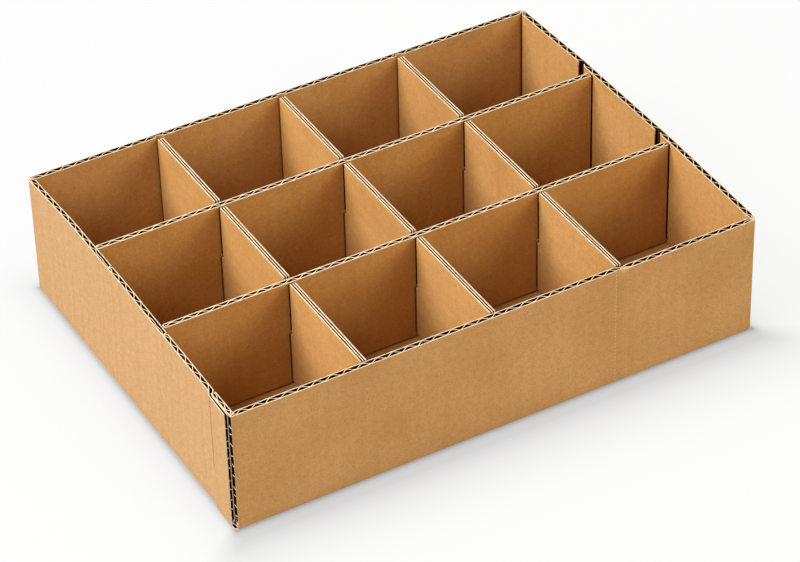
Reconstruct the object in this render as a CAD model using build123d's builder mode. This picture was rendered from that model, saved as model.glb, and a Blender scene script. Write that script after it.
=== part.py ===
"""Open corrugated tray for twelve wine bottles, with five interlocking dividers.

Every board is drawn with its real section: two flat liners with a fluted medium
between them. In the tray walls and the long dividers the flutes stand upright and
show as a zigzag along the top edge. In the cross dividers they lie flat and show at
the ends. X runs along the long side, Y from the front wall to the back wall, and Z up
from the underside of the bottom flaps.
"""

import os
from math import atan2, cos, degrees, hypot, sin

from build123d import *

# Corrugated board
board_thickness = 3.8
liner_thickness = 0.6
medium_thickness = 0.5
flute_pitch = 9.2
flat_flute_reach = 7.2

# Clear size of the cells, from left to right and from front to back
left_cell = 78.0
middle_cell = 77.0
right_cell = 84.0
front_cell = 82.5
centre_cell = 79.5
back_cell = 75.0

# Tray wrap
tray_height = 80.0
fold_radius = 3.0
bottom_fold_radius = 1.8
flute_floor = 6.5
divider_end_push = 2.0

# Diagonal crease inside each folded corner
pinch_width = 1.5
pinch_tip_width = 0.4
pinch_skin = 1.0
corner_solid = 1.6

# Lap joint: the left wall's end lies outside a glue tab of the front wall
lap_length = 23.0
lap_ramp = 12.0
lap_stand_off = 1.6
lap_start_stand_off = 1.0
lap_raw_end = 4.1
lap_inner_end = 1.2
lap_board = 2.6
lap_solid_end = 2.2
tab_end_gap = 0.8
lap_fold_radius = 1.0
lap_inner_stand_off = 0.4

# Creases of the left wall, ahead of the long dividers
crease_width = 1.5
crease_skin = 1.0
front_crease_ahead = 7.9
back_crease_ahead = 21.6
band_length = 17.5
band_slit = 0.7

# Recesses of the back wall, behind the cross dividers
recess_width = 5.0
recess_depth = 1.5
recess_shift = 1.0
recess_slit = 0.7

# Slots of the right wall, behind the long dividers
wall_slot_width = 4.2
wall_slot_behind = 12.4
wall_slot_skin = 0.7

# Crushed stretch of the front wall at the right cross divider
crushed_length = 7.7
crushed_drop = 0.9
crushed_reach = 1.2

# How far a cut runs on past the face that it opens
cut_overrun = 1.0

# Bottom flaps
flap_seam = 1.0
flap_side_gap = 1.5

# Dividers
divider_drop = 0.6
divider_left_gap = 1.7
divider_end_gap = 1.2
slot_wide_play = 2.0
slot_narrow_play = 0.7
slot_meeting_play = 1.0

# Plan of the tray
inner_length = left_cell + 2 * middle_cell + right_cell + 3 * board_thickness
inner_width = front_cell + centre_cell + back_cell + 2 * board_thickness
outer_length = inner_length + 2 * board_thickness
outer_width = inner_width + 2 * board_thickness
left_x = lap_stand_off - (outer_length + lap_stand_off + divider_end_push) / 2
right_x = left_x + outer_length
pushed_x = right_x + divider_end_push
front_y = -outer_width / 2
back_y = outer_width / 2
floor_z = 2 * board_thickness

# Middle of each wall's board
half_board = board_thickness / 2
left_line = left_x + half_board
right_line = right_x - half_board
pushed_line = pushed_x - half_board
front_line = front_y + half_board
back_line = back_y - half_board

# Centre lines of the dividers
left_cross_x = left_line + left_cell + board_thickness
middle_cross_x = left_cross_x + middle_cell + board_thickness
right_cross_x = middle_cross_x + middle_cell + board_thickness
cross_x = [left_cross_x, middle_cross_x, right_cross_x]
front_long_y = front_line + front_cell + board_thickness
back_long_y = front_long_y + centre_cell + board_thickness
long_y = [front_long_y, back_long_y]
divider_height = tray_height - floor_z - divider_drop
divider_top = floor_z + divider_height
divider_middle = floor_z + divider_height / 2

# Where the pushed part of the right wall starts and ends
push_start_y = front_long_y - half_board
push_end_y = back_long_y + wall_slot_behind

# Places along the walls where the flutes stop
corner_length = board_thickness + corner_solid
flute_half_depth = half_board - liner_thickness
recess_x = [x + recess_shift for x in cross_x]
wall_slot_y = [y + wall_slot_behind for y in long_y]
crease_y = [front_long_y - front_crease_ahead, back_long_y - back_crease_ahead]
lap_end_y = front_y + lap_length


def cut_flutes(start, end, half_depth=flute_half_depth):
    """Cut the voids on both sides of the medium, from one point of a board to another.

    The medium zigzags between the liners, so each void is the triangle that it leaves.
    """
    run_length = hypot(end[0] - start[0], end[1] - start[1])
    middle = ((start[0] + end[0]) / 2, (start[1] + end[1]) / 2)
    turn = degrees(atan2(end[1] - start[1], end[0] - start[0]))
    count = max(1, round(run_length / flute_pitch))
    period = run_length / count
    slope = atan2(4 * half_depth, period)
    half_base = period / 2 - medium_thickness / 2 / sin(slope)
    apex = half_depth - medium_thickness / 2 / cos(slope)
    with Locations(Location((middle[0], middle[1], 0), (0, 0, turn))):
        with GridLocations(period, 1, count, 1):
            Polygon(
                (-half_base, -half_depth),
                (half_base, -half_depth),
                (0, apex),
                mode=Mode.SUBTRACT,
            )
        if count > 1:
            with GridLocations(period, 1, count - 1, 1):
                Polygon(
                    (-half_base, half_depth),
                    (0, -apex),
                    (half_base, half_depth),
                    mode=Mode.SUBTRACT,
                )


def cut_pinch(corner_x, corner_y, turn):
    """Cut the diagonal crease that opens at the inner corner of a fold."""
    length = hypot(board_thickness, board_thickness) - pinch_skin
    with Locations(Location((corner_x, corner_y, 0), (0, 0, turn))):
        Polygon(
            (-pinch_width, -pinch_width / 2),
            (0, -pinch_width / 2),
            (length, -pinch_tip_width / 2),
            (length, pinch_tip_width / 2),
            (0, pinch_width / 2),
            (-pinch_width, pinch_width / 2),
            mode=Mode.SUBTRACT,
        )


def cut_block(low_x, low_y, high_x, high_y):
    """Cut a straight block out of the wall section, given by two of its corners."""
    with Locations(((low_x + high_x) / 2, (low_y + high_y) / 2)):
        Rectangle(high_x - low_x, high_y - low_y, mode=Mode.SUBTRACT)


# Outline of the wrap in plan
with BuildSketch() as wrap:
    with BuildLine():
        Polyline(
            (left_x, front_y),
            (right_x, front_y),
            (pushed_x, push_start_y),
            (pushed_x, push_end_y),
            (right_x, back_y),
            (left_x, back_y),
            close=True,
        )
    make_face()
    lap_corner = wrap.vertices().group_by(Axis.X)[0].sort_by(Axis.Y)[0]
    fillet(lap_corner, radius=lap_fold_radius)
    far_folds = wrap.vertices().group_by(Axis.Y)[-1]
    front_fold = wrap.vertices().group_by(Axis.Y)[0].sort_by(Axis.X)[-1]
    fillet([*far_folds, front_fold], radius=fold_radius)

# Outer layer of the lap joint in plan
with BuildSketch() as lap_layer:
    with BuildLine():
        Polyline(
            (left_x + lap_board, lap_end_y + lap_ramp),
            (left_x, lap_end_y + lap_ramp),
            (left_x - lap_start_stand_off, lap_end_y),
            (left_x - lap_stand_off, front_y + lap_raw_end),
            (left_x - lap_inner_stand_off, front_y + lap_inner_end),
            (left_x + lap_inner_stand_off, front_y + lap_raw_end),
            close=True,
        )
    make_face()

# Inside of the wrap in plan
with BuildSketch() as inside:
    with BuildLine():
        Polyline(
            (left_x + board_thickness, front_y + board_thickness),
            (right_x - board_thickness, front_y + board_thickness),
            (pushed_x - board_thickness, push_start_y),
            (pushed_x - board_thickness, push_end_y),
            (right_x - board_thickness, back_y - board_thickness),
            (left_x + board_thickness, back_y - board_thickness),
            close=True,
        )
    make_face()

# Section of the walls above the bottom folds, with flutes, creases, slots and recesses
with BuildSketch(Plane.XY.offset(flute_floor)) as walls:
    add(wrap.sketch_local)
    add(lap_layer.sketch_local)
    add(inside.sketch_local, mode=Mode.SUBTRACT)

    # Folded corners
    cut_pinch(left_x + board_thickness, back_y - board_thickness, 135)
    cut_pinch(right_x - board_thickness, back_y - board_thickness, 45)
    cut_pinch(right_x - board_thickness, front_y + board_thickness, -45)
    cut_pinch(left_x + board_thickness, front_y + board_thickness, -135)

    # Front wall
    cut_flutes((left_x + corner_length, front_line), (right_x - corner_length, front_line))

    # Back wall, between the recesses
    back_runs = [left_x + corner_length, *recess_x, right_x - corner_length]
    recess_half = recess_width / 2 + medium_thickness
    for index in range(len(back_runs) - 1):
        run_start = back_runs[index] + (recess_half if index > 0 else 0)
        run_end = back_runs[index + 1] - (recess_half if index < len(recess_x) else 0)
        cut_flutes((run_start, back_line), (run_end, back_line))
    for x in recess_x:
        with Locations((x, back_y - board_thickness)):
            Polygon(
                (-recess_width / 2, -cut_overrun),
                (recess_width / 2, -cut_overrun),
                (recess_width / 2, 0),
                (recess_width / 4, recess_depth),
                (-recess_width / 2, recess_depth),
                mode=Mode.SUBTRACT,
            )
        slit_low = back_y - board_thickness + recess_depth + medium_thickness
        cut_block(x - recess_width / 2, slit_low, x + recess_width / 2, slit_low + recess_slit)

    # Right wall, pushed out by the ends of the long dividers, between the slots
    cut_flutes((right_line, front_y + corner_length), (pushed_line, push_start_y))
    slot_half = wall_slot_width / 2 + medium_thickness
    cut_flutes((pushed_line, push_start_y), (pushed_line, wall_slot_y[0] - slot_half))
    cut_flutes(
        (pushed_line, wall_slot_y[0] + slot_half),
        (pushed_line, wall_slot_y[1] - slot_half),
    )
    cut_flutes((pushed_line, wall_slot_y[1] + slot_half), (right_line, back_y - corner_length))
    for y in wall_slot_y:
        cut_block(
            right_x - board_thickness - cut_overrun,
            y - wall_slot_width / 2,
            pushed_x - wall_slot_skin,
            y + wall_slot_width / 2,
        )

    # Left wall, with a crushed band behind each crease
    band_line = left_x + liner_thickness + band_slit + medium_thickness
    band_half_depth = (board_thickness - liner_thickness - band_line + left_x) / 2
    for y in crease_y:
        with Locations((left_x + board_thickness, y)):
            Polygon(
                (cut_overrun, -crease_width / 2),
                (cut_overrun, crease_width / 2),
                (0, crease_width / 2),
                (crease_skin - board_thickness, 0),
                (0, -crease_width / 2),
                mode=Mode.SUBTRACT,
            )
        cut_block(
            left_x + liner_thickness,
            y + crease_width,
            left_x + liner_thickness + band_slit,
            y + band_length,
        )
        cut_flutes(
            (band_line + band_half_depth, y + crease_width / 2 + medium_thickness),
            (band_line + band_half_depth, y + band_length),
            band_half_depth,
        )
    left_runs = [
        (lap_end_y + tab_end_gap + medium_thickness, crease_y[0] - crease_width),
        (crease_y[0] + band_length + medium_thickness, crease_y[1] - crease_width),
        (crease_y[1] + band_length + medium_thickness, back_y - corner_length),
    ]
    for run_start, run_end in left_runs:
        cut_flutes((left_line, run_start), (left_line, run_end))

    # Lap joint: crushed flutes of both layers, and the gap at the end of the tab
    lap_half_depth = lap_board / 2 - liner_thickness
    tab_line = left_x + board_thickness - lap_board / 2
    cut_flutes(
        (tab_line, front_y + corner_length + lap_solid_end),
        (tab_line, lap_end_y - medium_thickness),
        lap_half_depth,
    )
    cut_flutes(
        (left_x - lap_stand_off + lap_board / 2, front_y + lap_raw_end + lap_solid_end),
        (left_x - lap_start_stand_off + lap_board / 2, lap_end_y - medium_thickness),
        lap_half_depth,
    )
    cut_block(
        left_x + board_thickness - lap_board,
        lap_end_y,
        left_x + board_thickness + cut_overrun,
        lap_end_y + tab_end_gap,
    )

# Tray: four walls, glue tab and bottom flaps, folded from one board
with BuildPart() as tray:
    add(wrap.sketch_local)
    extrude(amount=flute_floor)
    fillet(tray.faces().sort_by(Axis.Z)[0].edges(), radius=bottom_fold_radius)
    add(lap_layer.sketch_local)
    extrude(amount=flute_floor)
    add(inside.sketch_local)
    extrude(amount=flute_floor, mode=Mode.SUBTRACT)

    # Outer flaps, from the front and back walls to the seam along the middle
    outer_flap_width = inner_width / 2 - flap_seam / 2
    with BuildSketch():
        for side in (-1, 1):
            with Locations((left_x + outer_length / 2, side * (flap_seam + outer_flap_width) / 2)):
                Rectangle(inner_length - 2 * flap_side_gap, outer_flap_width)
    extrude(amount=board_thickness)

    # Inner flaps, from the end walls to the seam under the middle cross divider
    inner_flap_width = inner_width - 2 * flap_side_gap
    left_flap_length = middle_cross_x - flap_seam / 2 - left_x - board_thickness
    right_flap_length = right_x - board_thickness - middle_cross_x - flap_seam / 2
    with BuildSketch(Plane.XY.offset(board_thickness)):
        with Locations((left_x + board_thickness + left_flap_length / 2, 0)):
            Rectangle(left_flap_length, inner_flap_width)
        with Locations((right_x - board_thickness - right_flap_length / 2, 0)):
            Rectangle(right_flap_length, inner_flap_width)
    extrude(amount=board_thickness)

    # Walls above the bottom folds
    add(walls.sketch)
    extrude(amount=tray_height - flute_floor)

    # Crushed stretch of the front wall's outer edge
    with BuildSketch(Plane.XY.offset(tray_height)):
        with Locations((right_cross_x, front_y)):
            Rectangle(crushed_length, 2 * crushed_reach)
    extrude(amount=-crushed_drop, mode=Mode.SUBTRACT)


# Ends of the dividers
long_start_x = left_x + board_thickness + divider_left_gap
long_end_x = pushed_x - board_thickness - divider_end_gap
cross_start_y = front_y + board_thickness + divider_end_gap
cross_end_y = back_y - board_thickness - divider_end_gap


def long_divider(y):
    """Divider along the tray, with upright flutes and half slots cut from below."""
    with BuildPart() as divider:
        with BuildSketch(Plane.XY.offset(floor_z)):
            with Locations(((long_start_x + long_end_x) / 2, y)):
                Rectangle(long_end_x - long_start_x, board_thickness)
            cut_flutes((long_start_x, y), (long_end_x, y))
        extrude(amount=divider_height)
        slot_width = board_thickness + slot_wide_play + slot_narrow_play
        slot_shift = (slot_narrow_play - slot_wide_play) / 2
        with BuildSketch(Plane.XY.offset(floor_z)):
            for x in cross_x:
                with Locations((x + slot_shift, y)):
                    Rectangle(slot_width, 2 * board_thickness)
        extrude(amount=divider_middle + slot_meeting_play / 2 - floor_z, mode=Mode.SUBTRACT)
    return divider


def cross_divider(x):
    """Divider across the tray, with flat flutes and half slots cut from above."""
    with BuildPart() as divider:
        with BuildSketch(Plane.XZ.offset(-cross_end_y)):
            with Locations((x, divider_middle)):
                Rectangle(board_thickness, divider_height)
            cut_flutes((x, floor_z - flat_flute_reach), (x, divider_top + flat_flute_reach))
        extrude(amount=cross_end_y - cross_start_y)
        slot_width = board_thickness + slot_wide_play + slot_narrow_play
        slot_shift = (slot_wide_play - slot_narrow_play) / 2
        with BuildSketch(Plane.XY.offset(divider_top)):
            for y in long_y:
                with Locations((x, y + slot_shift)):
                    Rectangle(2 * board_thickness, slot_width)
        slot_bottom = divider_middle - slot_meeting_play / 2
        extrude(amount=slot_bottom - divider_top, mode=Mode.SUBTRACT)
    return divider


pieces = {
    "tray": tray,
    "long_divider_front": long_divider(front_long_y),
    "long_divider_back": long_divider(back_long_y),
    "cross_divider_left": cross_divider(left_cross_x),
    "cross_divider_middle": cross_divider(middle_cross_x),
    "cross_divider_right": cross_divider(right_cross_x),
}

os.makedirs("parts", exist_ok=True)
for name, piece in pieces.items():
    piece.part.label = name
    export_step(piece.part, f"parts/{name}.step")
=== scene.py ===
"""Looks of the open corrugated tray with its interlocking dividers.

Every board is built as a paper maker builds it: two flat liners with a waved medium
between them, each a thin closed sheet of its own. A sheet is a surface worked out on a
grid, with cells left out where the board is slotted. Sizes are in millimetres, in a plan
that starts at the outer front left corner of the tray, and become metres in the mesh.
"""

import logging
import math
from dataclasses import dataclass, replace
from enum import Enum

import bpy
import numpy as np
from mathutils import Matrix, Vector


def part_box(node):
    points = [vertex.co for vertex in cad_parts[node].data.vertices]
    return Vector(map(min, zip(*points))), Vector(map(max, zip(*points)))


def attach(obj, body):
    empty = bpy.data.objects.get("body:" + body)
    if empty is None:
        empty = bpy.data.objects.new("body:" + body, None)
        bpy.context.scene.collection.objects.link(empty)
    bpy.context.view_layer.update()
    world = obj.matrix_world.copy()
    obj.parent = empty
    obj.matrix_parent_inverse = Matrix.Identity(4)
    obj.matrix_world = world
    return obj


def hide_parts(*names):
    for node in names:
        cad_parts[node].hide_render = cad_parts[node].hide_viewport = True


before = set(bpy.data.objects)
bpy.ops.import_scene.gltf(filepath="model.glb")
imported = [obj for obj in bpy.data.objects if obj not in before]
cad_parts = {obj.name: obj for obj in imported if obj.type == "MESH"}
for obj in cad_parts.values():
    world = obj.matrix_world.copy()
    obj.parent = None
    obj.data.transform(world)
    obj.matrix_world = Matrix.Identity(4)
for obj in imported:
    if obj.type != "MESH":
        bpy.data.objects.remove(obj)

log = logging.getLogger("tray")

MM = 0.001
FLUTE_MAP = "flutes"


class Surface(Enum):
    """What a face of a sheet is, which decides its finish."""

    OUTSIDE = 0
    EDGE = 1
    # Faces inside the board; their near-black finish is painted shade.
    HIDDEN = 2
    INSIDE = 3


@dataclass(frozen=True)
class Board:
    """Single wall corrugated board, in millimetres."""

    thickness: float = 3.8
    liner: float = 0.55
    medium: float = 0.42
    pitch: float = 9.2

    @property
    def half(self) -> float:
        """Half of the board's thickness."""
        return self.thickness / 2

    @property
    def swing(self) -> float:
        """How far the middle of the medium swings to each side of the board's middle."""
        return self.half - self.liner - self.medium * 0.35


BOARD = Board()


@dataclass(frozen=True)
class Plan:
    """Driving sizes of the tray and its dividers, in millimetres.

    push is how far the ends of the dividers push the right wall out, divider_drop how far
    the dividers stay below the tray's edge, and foot_gap how far they stay above its floor.
    """

    left_cell: float = 78.0
    middle_cell: float = 77.0
    right_cell: float = 84.0
    front_cell: float = 82.5
    centre_cell: float = 79.5
    back_cell: float = 75.0
    height: float = 80.0
    push: float = 2.0
    divider_drop: float = 0.6
    foot_gap: float = 1.6

    @property
    def length(self) -> float:
        """Outer length of the tray, without the push of the dividers."""
        cells = self.left_cell + 2 * self.middle_cell + self.right_cell
        return cells + 5 * BOARD.thickness

    @property
    def width(self) -> float:
        """Outer width of the tray."""
        return self.front_cell + self.centre_cell + self.back_cell + 4 * BOARD.thickness

    @property
    def floor(self) -> float:
        """Height of the floor, on two layers of flaps."""
        return 2 * BOARD.thickness

    @property
    def foot(self) -> float:
        """Height of the dividers' lower edges, just clear of the floor."""
        return self.floor + self.foot_gap

    @property
    def divider_top(self) -> float:
        """Height of the dividers' top edges."""
        return self.height - self.divider_drop

    @property
    def cross_x(self) -> np.ndarray:
        """Middle of each cross divider, along the length."""
        cells = np.array([self.left_cell, self.middle_cell, self.middle_cell])
        return BOARD.half + np.cumsum(cells + BOARD.thickness)

    @property
    def long_y(self) -> np.ndarray:
        """Middle of each long divider, along the width."""
        cells = np.array([self.front_cell, self.centre_cell])
        return BOARD.half + np.cumsum(cells + BOARD.thickness)


PLAN = Plan()


@dataclass
class Sheets:
    """Closed thin sheets as one mesh.

    points are (n, 3), quads index four points each, kinds give each quad's Surface, and
    flutes are each point's distances across and along the flutes.
    """

    points: np.ndarray
    quads: np.ndarray
    kinds: np.ndarray
    flutes: np.ndarray


def joined(parts: list[Sheets]) -> Sheets:
    """Join several meshes into one.

    Args:
        parts: Meshes to join, in order.

    Returns:
        One mesh that holds them all.
    """
    starts = np.cumsum([0] + [len(part.points) for part in parts[:-1]])
    return Sheets(
        points=np.concatenate([part.points for part in parts]),
        quads=np.concatenate([part.quads + start for part, start in zip(parts, starts)]),
        kinds=np.concatenate([part.kinds for part in parts]),
        flutes=np.concatenate([part.flutes for part in parts]),
    )


def sheet(
    middle: np.ndarray,
    thickness: float,
    flutes: np.ndarray,
    cells: np.ndarray | None = None,
    sides: tuple[Surface, Surface] = (Surface.OUTSIDE, Surface.HIDDEN),
) -> Sheets:
    """Give a surface a thickness, leaving out the cells that are cut away.

    The two faces are the middle surface moved by half the thickness along its normal,
    which is the cross product of its two directions. Wherever a kept cell borders on one
    that is cut away or on nothing, a quad closes the edge.

    Args:
        middle: Middle surface, as an array of points of shape (n, m, 3).
        thickness: Thickness of the sheet.
        flutes: Distances across and along the flutes, of shape (n, m, 2).
        cells: Kept cells, of shape (n - 1, m - 1), or None to keep them all.
        sides: What the face along the normal is, and what the other one is.

    Returns:
        The closed sheet.
    """
    rows, levels = middle.shape[:2]
    if cells is None:
        cells = np.ones((rows - 1, levels - 1), bool)
    normal = np.cross(np.gradient(middle, axis=0), np.gradient(middle, axis=1))
    normal /= np.linalg.norm(normal, axis=2, keepdims=True)
    points = np.concatenate(
        [
            (middle + normal * thickness / 2).reshape(-1, 3),
            (middle - normal * thickness / 2).reshape(-1, 3),
        ]
    )
    index = np.arange(rows * levels).reshape(rows, levels)
    near = index[:-1, :-1]
    ahead = index[1:, :-1]
    above = index[:-1, 1:]
    across = index[1:, 1:]
    back = rows * levels
    padded = np.pad(cells, 1)
    open_below = cells & ~padded[1:-1, :-2]
    open_above = cells & ~padded[1:-1, 2:]
    open_before = cells & ~padded[:-2, 1:-1]
    open_after = cells & ~padded[2:, 1:-1]
    groups = [
        (cells, (near, ahead, across, above), sides[0]),
        (cells, (near + back, above + back, across + back, ahead + back), sides[1]),
        (open_below, (near, near + back, ahead + back, ahead), Surface.EDGE),
        (open_above, (above, across, across + back, above + back), Surface.EDGE),
        (open_before, (near, above, above + back, near + back), Surface.EDGE),
        (open_after, (ahead, ahead + back, across + back, across), Surface.EDGE),
    ]
    quads = np.concatenate([np.stack([c[mask] for c in corners], 1) for mask, corners, _ in groups])
    kinds = np.concatenate([np.full(mask.sum(), kind.value) for mask, _, kind in groups])
    used, quads = np.unique(quads, return_inverse=True)
    both = np.concatenate([flutes.reshape(-1, 2), flutes.reshape(-1, 2)])
    return Sheets(points[used], quads.reshape(-1, 4), kinds, both[used])


@dataclass
class Trace:
    """A line in plan, as points of shape (n, 2) in the order of travel."""

    points: np.ndarray

    @property
    def reach(self) -> np.ndarray:
        """Distance travelled at each point."""
        steps = np.hypot(*np.diff(self.points, axis=0).T)
        return np.concatenate([[0.0], np.cumsum(steps)])

    @property
    def right(self) -> np.ndarray:
        """Unit vectors to the right of travel, which is outwards round the tray."""
        along = np.gradient(self.points, axis=0)
        along /= np.linalg.norm(along, axis=1, keepdims=True)
        return np.stack([along[:, 1], -along[:, 0]], axis=1)

    def moved(self, distance: float | np.ndarray) -> "Trace":
        """The line moved to the right of travel by a distance, fixed or one for each point."""
        shift = np.broadcast_to(distance, len(self.points))
        return Trace(self.points + self.right * shift[:, None])

    def reach_at(self, place: tuple[float, float]) -> float:
        """Distance travelled at the point of the line that is nearest to a place."""
        away = np.hypot(*(self.points - np.array(place)).T)
        return float(self.reach[away.argmin()])


def trace(corners: list[tuple[float, float]], rounding: float, coarse: float = 2.0) -> Trace:
    """Draw a smooth line through a few places.

    The straight runs between the places are blurred with a bell curve, which rounds each
    corner. Points are then spread by distance and by turning, so that bends get more.

    Args:
        corners: Places in plan, in the order of travel.
        rounding: Width of the bell curve, which is about half of a corner's radius.
        coarse: Distance between points on a straight run.

    Returns:
        The smooth line.
    """
    fine = 0.08
    turn_step = math.radians(11)
    raw = Trace(np.array(corners, float))
    reach = raw.reach
    distance = np.linspace(0, reach[-1], int(reach[-1] / fine) + 2)
    line = np.stack([np.interp(distance, reach, raw.points[:, k]) for k in (0, 1)], axis=1)
    half = int(3 * rounding / fine)
    bell = np.exp(-0.5 * (np.arange(-half, half + 1) * fine / rounding) ** 2)
    bell /= bell.sum()
    before = 2 * line[0] - line[half:0:-1]
    after = 2 * line[-1] - line[-2 : -half - 2 : -1]
    long_line = np.concatenate([before, line, after])
    smooth = np.stack([np.convolve(long_line[:, k], bell, "valid") for k in (0, 1)], axis=1)
    steps = np.diff(smooth, axis=0)
    heading = np.unwrap(np.arctan2(steps[:, 1], steps[:, 0]))
    turning = np.abs(np.diff(heading, append=heading[-1]))
    weight = np.concatenate([[0.0], np.cumsum(np.hypot(*steps.T) / coarse + turning / turn_step)])
    even = np.linspace(0, weight[-1], int(weight[-1]) + 2)
    return Trace(np.stack([np.interp(even, weight, smooth[:, k]) for k in (0, 1)], axis=1))


def evenly(line: Trace, step: float) -> Trace:
    """Spread a line's points evenly.

    Args:
        line: Line in plan.
        step: About how far apart the points are to be.

    Returns:
        The same line with other points.
    """
    reach = line.reach
    even = np.linspace(0, reach[-1], int(reach[-1] / step) + 2)
    return Trace(np.stack([np.interp(even, reach, line.points[:, k]) for k in (0, 1)], axis=1))


def arc(centre: tuple[float, float], radius: float, start: float, end: float) -> list:
    """Places along an arc in plan, from one angle in degrees to another."""
    angles = np.radians(np.linspace(start, end, 7))
    return [(centre[0] + radius * math.cos(a), centre[1] + radius * math.sin(a)) for a in angles]


def upright(line: Trace, levels: np.ndarray, insets: np.ndarray | float = 0.0) -> tuple:
    """Raise a line in plan to a surface.

    Args:
        line: Line in plan.
        levels: Heights of the surface's rows, from the lowest.
        insets: How far each row stands to the left of travel.

    Returns:
        The surface, of shape (n, m, 3), and its distances across and along the flutes.
    """
    inset = np.broadcast_to(insets, len(levels))
    flat = line.points[:, None, :] - line.right[:, None, :] * inset[None, :, None]
    height = np.broadcast_to(levels, flat.shape[:2])
    surface = np.concatenate([flat, height[:, :, None]], axis=2)
    reach = np.broadcast_to(line.reach[:, None], flat.shape[:2])
    return surface, np.stack([reach, height], axis=2)


def ripple(first: np.ndarray, second: np.ndarray, wavelength: float, seed: int) -> np.ndarray:
    """Smooth unevenness, a sum of six sines in random directions.

    Args:
        first: One of the two places that it depends on.
        second: The other.
        wavelength: Middling length of its waves, which are 0.6 to 1.6 times as long.
        seed: Seed of the directions, phases and wavelengths.

    Returns:
        The unevenness, between about -1 and 1.
    """
    random = np.random.default_rng(seed)
    total = np.zeros_like(first)
    for _ in range(6):
        angle, phase, scale = random.uniform(0, [2 * math.pi, 2 * math.pi, 1.0])
        wave = 2 * math.pi / (wavelength * (0.6 + scale))
        total += np.sin(wave * (first * math.cos(angle) + second * math.sin(angle)) + phase)
    return total / 3.5


@dataclass(frozen=True)
class Wear:
    """What handling did to the boards, in millimetres.

    The top edges sink a little, the raw end of the lap is uneven, and the front wall is
    lower to the right of a crushed stretch, where its outer liner leans in over the edge.
    """

    sink: float = 0.16
    sink_unevenness: float = 0.07
    seam_wobble: float = 0.16
    lowered: float = 0.8
    lowered_from: float = 243.0
    lowered_fade: float = 4.0
    crush_place: float = 245.2
    crush_half_width: float = 3.4
    crush_lean: float = 1.7
    crush_sink: float = 0.9

    def settled(self, points: np.ndarray) -> np.ndarray:
        """Move points as the wear did.

        Each effect is its size times shares between 0 and 1 that fade out with height,
        depth and distance, and the crushed stretch fades along the wall as a flat bell.

        Args:
            points: Points of shape (n, 3).

        Returns:
            The moved points.
        """
        x, y, z = points.T
        near_top = np.clip((z - 74) / 6, 0, 1)
        uneven = self.sink_unevenness
        sink = near_top * (self.sink + uneven * ripple(x, y, 40, 3) + uneven * ripple(x, y, 7, 4))
        near_seam = np.clip(1.5 - x / 2, 0, 1) * np.clip(2 - y / 3, 0, 1) * np.clip(z / 10, 0, 1)
        wobble = near_seam * self.seam_wobble * ripple(z, z, 11, 8)
        in_front = np.clip((4.4 - y) / 0.6, 0, 1)
        past_crush = np.clip((x - self.lowered_from) / self.lowered_fade, 0, 1)
        lowered = in_front * near_top * self.lowered * past_crush
        along = np.exp(-(((x - self.crush_place) / self.crush_half_width) ** 6))
        crush = along * np.clip((z - 75) / 5, 0, 1) ** 2 * in_front
        leaning = crush * self.crush_lean * np.clip((1.6 - y) / 1.0, 0, 1)
        moved_y = y + np.abs(wobble) + leaning
        return np.stack([x, moved_y, z - sink - lowered - crush * self.crush_sink], axis=1)


WEAR = Wear()


@dataclass(frozen=True)
class Slots:
    """Slots cut into a divider from one of its edges.

    centres are the middles of the boards that go through, before and after the play on
    each side of them, and depth_level the height that the slots reach.
    """

    centres: np.ndarray
    before: float
    after: float
    depth_level: float
    from_below: bool

    @property
    def low(self) -> np.ndarray:
        """Where each slot starts along the divider."""
        return self.centres - BOARD.half - self.before

    @property
    def high(self) -> np.ndarray:
        """Where each slot ends along the divider."""
        return self.centres + BOARD.half + self.after

    def edges(self) -> np.ndarray:
        """Both edges of every slot."""
        return np.concatenate([self.low, self.high])

    def kept(self, places: np.ndarray, levels: np.ndarray) -> np.ndarray:
        """Cells of a grid that the slots leave.

        Args:
            places: Grid lines along the divider.
            levels: Grid lines up the divider.

        Returns:
            True for each kept cell.
        """
        middle = (places[:-1] + places[1:]) / 2
        height = (levels[:-1] + levels[1:]) / 2
        inside = ((middle[:, None] > self.low) & (middle[:, None] < self.high)).any(axis=1)
        cut = height < self.depth_level if self.from_below else height > self.depth_level
        return ~(inside[:, None] & cut[None, :])


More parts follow.
